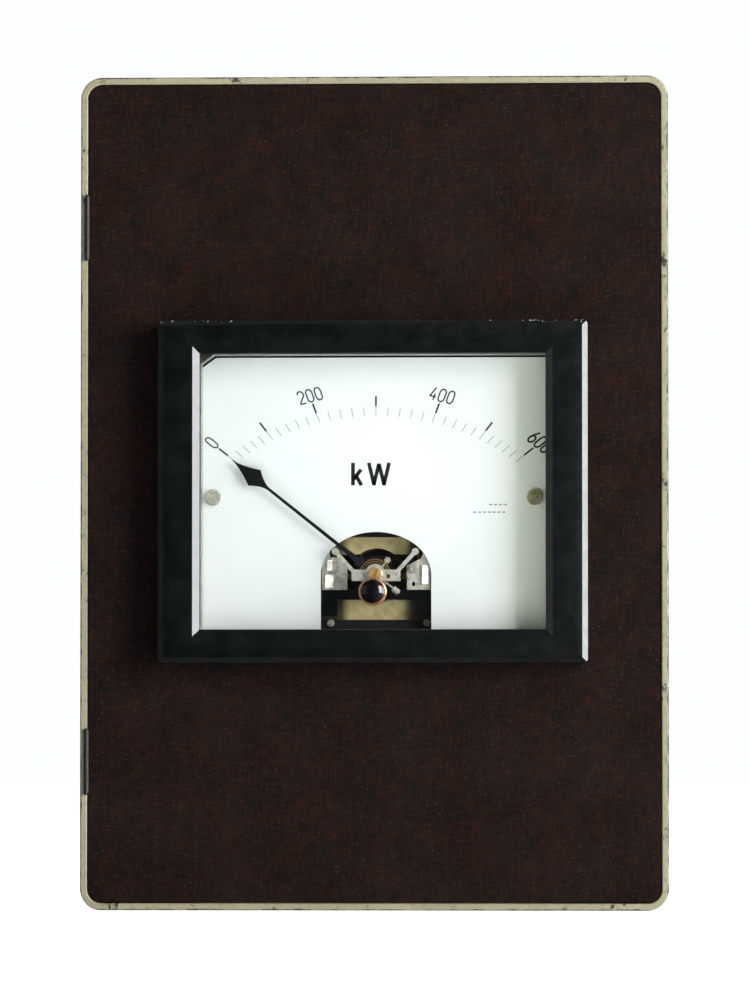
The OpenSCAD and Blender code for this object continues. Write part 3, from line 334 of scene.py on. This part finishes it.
def make_materials():
    """One material for each of the record's slots."""
    made = (
        case_paint(),
        laminate(),
        black_moulding(),
        flecked("black_enamel", (0.01, 0.01, 0.011), (0.017, 0.017, 0.018), 400.0, (0.32, 0.5)),
        clear_glass(),
        dial_white(),
        flecked("fibre", (0.2, 0.05, 0.03), (0.28, 0.085, 0.05), 900.0, (0.6, 0.8), 0.02),
        metal("zinc_steel", (0.5, 0.5, 0.49), (0.34, 0.33, 0.29), (0.28, 0.45), (1.0, 1.0, 0.2)),
        metal("nickel", (0.82, 0.8, 0.74), (0.5, 0.46, 0.36), (0.32, 0.45), (0.3, 1.0, 1.0), 3200.0, 0.45),
        flecked("hinge_black", (0.003, 0.003, 0.004), (0.012, 0.011, 0.01), 1200.0, (0.5, 0.65), 0.02),
        brass(),
        metal("copper", (0.78, 0.4, 0.24), (0.4, 0.17, 0.1), (0.2, 0.34), scale=2600.0, shine=0.85),
        varnished_core(),
        metal("soft_iron", (0.09, 0.088, 0.084), (0.05, 0.045, 0.04), (0.4, 0.6)),
        wound("winding", (0.03, 0.012, 0.008), (0.006, 0.003, 0.002), 0.8, "Y"),
        metal("aluminium", (0.8, 0.81, 0.82), (0.7, 0.7, 0.71), (0.3, 0.42), (1.0, 1.0, 0.1)),
        flecked("black_rubber", (0.018, 0.018, 0.019), (0.03, 0.029, 0.028), 700.0, (0.6, 0.8), 0.02),
        wound("ceramic", (0.42, 0.45, 0.33), (0.2, 0.2, 0.15), 0.5, "Y"),
        pointer_black(),
        flecked("knob_black", (0.0025, 0.0025, 0.003), (0.004, 0.004, 0.005), 500.0, (0.06, 0.12), 0.001),
    )
    return {s.name: s.material for s in made}


def dress(materials):
    """Gives every CAD node the material of its slot."""
    for part in record["subparts"]:
        piece = nodes[part["node"]]
        piece.data.materials.clear()
        piece.data.materials.append(materials[part["material_slot"]])


# ---------------------------------------------------------------- soft edges
def soft_edge_group():
    """Geometry nodes that weld a mesh and shade it smooth up to an angle."""
    group = bpy.data.node_groups.new("soft_shading", "GeometryNodeTree")
    group.interface.new_socket("Geometry", in_out="INPUT", socket_type="NodeSocketGeometry")
    group.interface.new_socket("Geometry", in_out="OUTPUT", socket_type="NodeSocketGeometry")
    link = group.links.new
    start = group.nodes.new("NodeGroupInput")
    end = group.nodes.new("NodeGroupOutput")
    strip = group.nodes.new("GeometryNodeRemoveAttribute")
    strip.inputs["Name"].default_value = "custom_normal"
    weld = group.nodes.new("GeometryNodeMergeByDistance")
    weld.inputs["Distance"].default_value = WELD
    smooth = group.nodes.new("GeometryNodeSetShadeSmooth")
    angle = group.nodes.new("GeometryNodeInputMeshEdgeAngle")
    flat_enough = group.nodes.new("FunctionNodeCompare")
    flat_enough.data_type = "FLOAT"
    flat_enough.operation = "LESS_THAN"
    flat_enough.inputs["B"].default_value = SMOOTH_ANGLE
    edges = group.nodes.new("GeometryNodeSetShadeSmooth")
    edges.domain = "EDGE"
    link(start.outputs[0], strip.inputs["Geometry"])
    link(strip.outputs[0], weld.inputs["Geometry"])
    link(weld.outputs[0], smooth.inputs["Geometry"])
    link(smooth.outputs[0], edges.inputs["Geometry"])
    link(angle.outputs["Unsigned Angle"], flat_enough.inputs["A"])
    link(flat_enough.outputs[0], edges.inputs["Shade Smooth"])
    link(edges.outputs[0], end.inputs[0])
    return group


# Width of each node's rounded edges; the back plate and the stator's stack keep theirs sharp
EDGE_MM = {
    "case_shell": 0.35, "back_plate": 0.0, "door_stop_angles": 0.25, "door_panel": 0.4,
    "meter_can": 0.3, "terminal_block": 0.4, "mounting_clamps": 0.2, "catch_magnet": 0.3,
    "meter_bezel": 0.22, "core_frame": 0.15, "terminal_bar": 0.1,
    "window_glass": 0.15, "current_coils": 0.5, "stator_core": 0.0,
}
THIN_EDGE_MM = 0.04
EDGE_SEGMENTS = 2


def soften():
    """Small rounded edges on every CAD node, by modifiers."""
    group = soft_edge_group()
    for name, piece in nodes.items():
        piece.modifiers.new("soft_shading", "NODES").node_group = group
        bevel = piece.modifiers.new("edges", "BEVEL")
        bevel.width = EDGE_MM.get(name, THIN_EDGE_MM) * MM
        bevel.segments = EDGE_SEGMENTS
        bevel.limit_method = "ANGLE"
        bevel.angle_limit = SMOOTH_ANGLE
        piece.modifiers.new("normals", "WEIGHTED_NORMAL").keep_sharp = True


# ---------------------------------------------------------------- printing on the dial
# Places and sizes are in millimetres; the scale is an arc flattened from top to bottom
INK_T = 0.02 * MM
SCALE_CENTRE = (0.5, 94.15)
FLATTEN = 0.801
SCALE_TURN = 45
MID_SPREAD = 1.8
FULL_SCALE = 600
DIVISION = 20
NUMBERED = 100
FINE_MARK = (55.4, 58.6)
FINE_MARK_W = 0.17
BOLD_MARK = (58.8, 62.4)
BOLD_MARK_W = 0.5
NUMBER_RADIUS = 65.3
NUMBER_SIZE = (1.7, 4.4)
NUMBER_PITCH = 2.5
NUMBER_W = {0: 0.38, 200: 0.4, 400: 0.4, 600: 0.52}
UNIT_LETTERS = (("k", -5.95, 2.4), ("W", -1.5, 5.7))
UNIT_Z = 119.1
UNIT_H = 6.3
UNIT_W = 1.05
DASH = 0.85
DASH_PITCH = 1.35
DASH_W = 0.35
DASH_ROWS = ((32.3, 113.6, 4), (27.8, 111.5, 7))


def arc(x, z, rx, rz, start, stop, steps=12):
    """Points on part of an ellipse, with angles in degrees from +X towards +Z."""
    turns = [math.radians(start + (stop - start) * i / steps) for i in range(steps + 1)]
    return [(x + rx * math.cos(t), z + rz * math.sin(t)) for t in turns]


# Strokes of each character in a unit box
GLYPHS = {
    "0": [arc(0.5, 0.72, 0.5, 0.28, 0, 180) + arc(0.5, 0.28, 0.5, 0.28, 180, 360) + [(1.0, 0.72)]],
    "2": [arc(0.5, 0.72, 0.5, 0.28, 170, -35) + [(0.0, 0.02)], [(-0.02, 0.0), (1.0, 0.0)]],
    "4": [[(0.62, 1.0), (0.0, 0.24)], [(-0.04, 0.27), (1.05, 0.27)], [(0.74, 0.52), (0.74, 0.0)]],
    "6": [arc(0.5, 0.29, 0.5, 0.29, 0, 360, 20), [(0.0, 0.31), (0.1, 0.55), (0.62, 1.0)]],
    "k": [[(0.0, 0.0), (0.0, 1.0)], [(0.95, 0.7), (0.05, 0.26)], [(0.36, 0.42), (1.0, 0.0)]],
    "W": [
        [(0.0, 1.0), (0.26, 0.0)], [(0.24, 0.0), (0.5, 0.96)],
        [(0.5, 0.96), (0.76, 0.0)], [(0.74, 0.0), (1.0, 1.0)],
    ],
}


def sides(points, width):
    """The line through the points, moved half the width to its left and to its right."""
    ways = [(b - a).normalized() for a, b in zip(points, points[1:])]
    before = ways[:1] + ways
    after = ways + ways[-1:]
    left, right = [], []
    for point, way_in, way_out in zip(points, before, after):
        along = (way_in + way_out).normalized()
        across = Vector((-along.y, along.x))
        corner = max(across.dot(Vector((-way_in.y, way_in.x))), 0.5)
        left.append(point + across * (width / 2 / corner))
        right.append(point - across * (width / 2 / corner))
    return left, right


class Print:
    """Flat strokes of ink, gathered in one mesh on the dial. Places are X and Z in millimetres."""

    def __init__(self):
        self.corners = []
        self.faces = []

    def stroke(self, points, width):
        """One bar of ink along the points."""
        left, right = sides([Vector(p) for p in points], width)
        first = len(self.corners)
        count = len(points)
        for y in (dial_face - INK_T, dial_face):
            self.corners += [(p.x * MM, y, p.y * MM) for p in left + right]
        for i in range(count - 1):
            l0, l1, r0, r1 = first + i, first + i + 1, first + count + i, first + count + i + 1
            low = 2 * count
            self.faces += [(l0, r0, r1, l1), (l0, l1, l1 + low, l0 + low), (r1, r0, r0 + low, r1 + low)]

    def letter(self, character, left, wide):
        """One upright character of the unit."""
        for line in GLYPHS[character]:
            self.stroke([(left + px * wide, UNIT_Z + pz * UNIT_H) for px, pz in line], UNIT_W)

    def mark(self, reading, span, width):
        """A mark across the scale at a reading, between two distances from the centre."""
        turn = scale_angle(reading)
        self.stroke([on_scale(turn, 0.0, out) for out in span], width)

    def number(self, reading, width):
        """A number that stands on the scale's arc, flattened with it."""
        turn = scale_angle(reading)
        words = str(reading)
        wide, high = NUMBER_SIZE
        for i, character in enumerate(words):
            shift = (i - (len(words) - 1) / 2) * NUMBER_PITCH - wide / 2
            for line in GLYPHS[character]:
                laid = [(shift + px * wide, NUMBER_RADIUS + (pz - 0.5) * high) for px, pz in line]
                self.stroke([on_scale(turn, u, v) for u, v in laid], width)

    def finish(self, name, material):
        """Makes the mesh, which rides on the door with the dial."""
        mesh = bpy.data.meshes.new(name)
        mesh.from_pydata(self.corners, [], self.faces)
        mesh.materials.append(material)
        made = bpy.data.objects.new(name, mesh)
        bpy.context.scene.collection.objects.link(made)
        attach(made, "door")


def scale_angle(reading):
    """Angle from the upright at which the scale shows a reading, spread a little at mid-scale."""
    share = reading / (FULL_SCALE / 2) - 1
    return math.radians(SCALE_TURN * share + MID_SPREAD * math.sin(math.pi * share))


def on_scale(turn, across, out):
    """A place on the dial, across and out from the scale's centre by distances along the way turn."""
    x = math.sin(turn) * out + math.cos(turn) * across
    z = math.cos(turn) * out - math.sin(turn) * across
    return (SCALE_CENTRE[0] + x, SCALE_CENTRE[1] + FLATTEN * z)


def print_dial():
    """Scale marks and numbers, the unit, and two short rows of plain dashes."""
    black = flecked("ink_black", (0.006, 0.006, 0.007), (0.012, 0.012, 0.013), 900.0, (0.5, 0.6))
    grey = flecked("ink_grey", (0.2, 0.2, 0.2), (0.3, 0.3, 0.29), 2500.0, (0.5, 0.6))
    bold = Print()
    fine = Print()
    for reading in range(0, FULL_SCALE + 1, DIVISION):
        fine.mark(reading, FINE_MARK, FINE_MARK_W)
        if reading % NUMBERED == 0:
            bold.mark(reading, BOLD_MARK, BOLD_MARK_W)
    for reading, width in NUMBER_W.items():
        bold.number(reading, width)
    for character, left, wide in UNIT_LETTERS:
        bold.letter(character, left, wide)
    for start, height, dashes in DASH_ROWS:
        for i in range(dashes):
            left = start + i * DASH_PITCH
            fine.stroke([(left, height), (left + DASH, height)], DASH_W)
    bold.finish("dial_print", black.material)
    fine.finish("dial_print_fine", grey.material)


# ---------------------------------------------------------------- stage and light
FLOOR_REACH = 14.0
FLOOR_DROP = 0.02 * MM
FLOOR_CELLS = 4


def make_floor():
    """A plain pale floor, just under the case."""
    lines = [(i / FLOOR_CELLS - 0.5) * FLOOR_REACH for i in range(FLOOR_CELLS + 1)]
    corners = [(x, y, -FLOOR_DROP) for x in lines for y in lines]
    row = len(lines)
    starts = [r * row + c for r in range(FLOOR_CELLS) for c in range(FLOOR_CELLS)]
    quads = [(i, i + 1, i + row + 1, i + row) for i in starts]
    mesh = bpy.data.meshes.new("floor")
    mesh.from_pydata(corners, [], quads, shade_flat=False)
    floor = bpy.data.objects.new("floor", mesh)
    bpy.context.scene.collection.objects.link(floor)
    s = Surface("floor_pale", Roughness=0.9, Specular_IOR_Level=0.1, Emission_Strength=0.75)
    s.shader.inputs["Emission Color"].default_value = (0.97, 1.0, 1.0, 1.0)
    s.drive("Base Color", s.blend(s.noise(3.0, 2.0), (0.9, 0.92, 0.92), (0.93, 0.945, 0.945)))
    floor.data.materials.append(s.material)
    floor.visible_glossy = False


def area(name, place, aim, width, height, power, colour=(1.0, 1.0, 1.0)):
    """A soft rectangular light at place, turned to aim."""
    data = bpy.data.lights.new(name, "AREA")
    data.shape = "RECTANGLE"
    data.size = width
    data.size_y = height
    data.energy = power
    data.color = colour
    light = bpy.data.objects.new(name, data)
    light.location = place
    light.rotation_euler = (aim - place).to_track_quat("-Z", "Y").to_euler()
    light.visible_camera = False
    bpy.context.scene.collection.objects.link(light)


RIGHT_SHARE = 0.9
STEEP_SHARE = -0.75
ROOM_GRADE = {"From Min": -1.15, "From Max": 0.3, "To Min": 0.0, "To Max": 0.75}


def make_world():
    """A pale room, dimmer in front of the meter, to its left, above and below than behind it."""
    world = bpy.data.worlds.new("room")
    world.use_nodes = True
    tree = world.node_tree
    background = tree.nodes["Background"]
    split = tree.nodes.new("ShaderNodeSeparateXYZ")
    tree.links.new(tree.nodes.new("ShaderNodeTexCoord").outputs["Generated"], split.inputs[0])

    def arithmetic(operation, *inputs):
        """One arithmetic node on the inputs."""
        made = tree.nodes.new("ShaderNodeMath")
        made.operation = operation
        for i, value in enumerate(inputs):
            if isinstance(value, bpy.types.NodeSocket):
                tree.links.new(value, made.inputs[i])
            else:
                made.inputs[i].default_value = value
        return made.outputs[0]

    steep = arithmetic("ABSOLUTE", split.outputs["Z"])
    back = arithmetic("MULTIPLY_ADD", steep, STEEP_SHARE, split.outputs["Y"])
    level = arithmetic("MULTIPLY_ADD", split.outputs["X"], RIGHT_SHARE, back)
    ramp = tree.nodes.new("ShaderNodeMapRange")
    for key, value in ROOM_GRADE.items():
        ramp.inputs[key].default_value = value
    tree.links.new(level, ramp.inputs["Value"])
    seen = tree.nodes.new("ShaderNodeLightPath").outputs["Is Camera Ray"]
    tree.links.new(arithmetic("MAXIMUM", ramp.outputs[0], seen), background.inputs["Strength"])
    background.inputs["Color"].default_value = (0.975, 1.0, 1.0, 1.0)
    bpy.context.scene.world = world


def make_lights():
    """Window and side lights on the right, a weak fill on the left, and two lights from behind and above."""
    centre = Vector((0.0, front, case_high.z / 2))
    area("window_light", centre + Vector((1.05, -0.92, 0.32)), centre, 0.6, 1.0, 33.0, (1.0, 0.99, 0.97))
    area("side_light", centre + Vector((1.3, -0.34, 0.1)), centre, 0.55, 0.8, 17.0, (0.95, 0.97, 1.0))
    area("left_fill", centre + Vector((-1.4, -0.9, 0.3)), centre, 1.4, 1.4, 2.5, (0.95, 0.98, 1.0))
    area("top_fill", centre + Vector((0.1, 0.9, 1.4)), centre, 1.0, 1.0, 9.0)
    area("back_light", centre + Vector((0.3, 1.6, 1.1)), centre, 1.4, 1.4, 14.0)


def make_view():
    """Plain colour handling, so that pale stays pale."""
    view = bpy.context.scene.view_settings
    view.view_transform = "Standard"
    view.look = "None"
    view.exposure = 0.0


make_camera()
make_world()
make_lights()
make_floor()
make_view()
dress(make_materials())
soften()
print_dial()
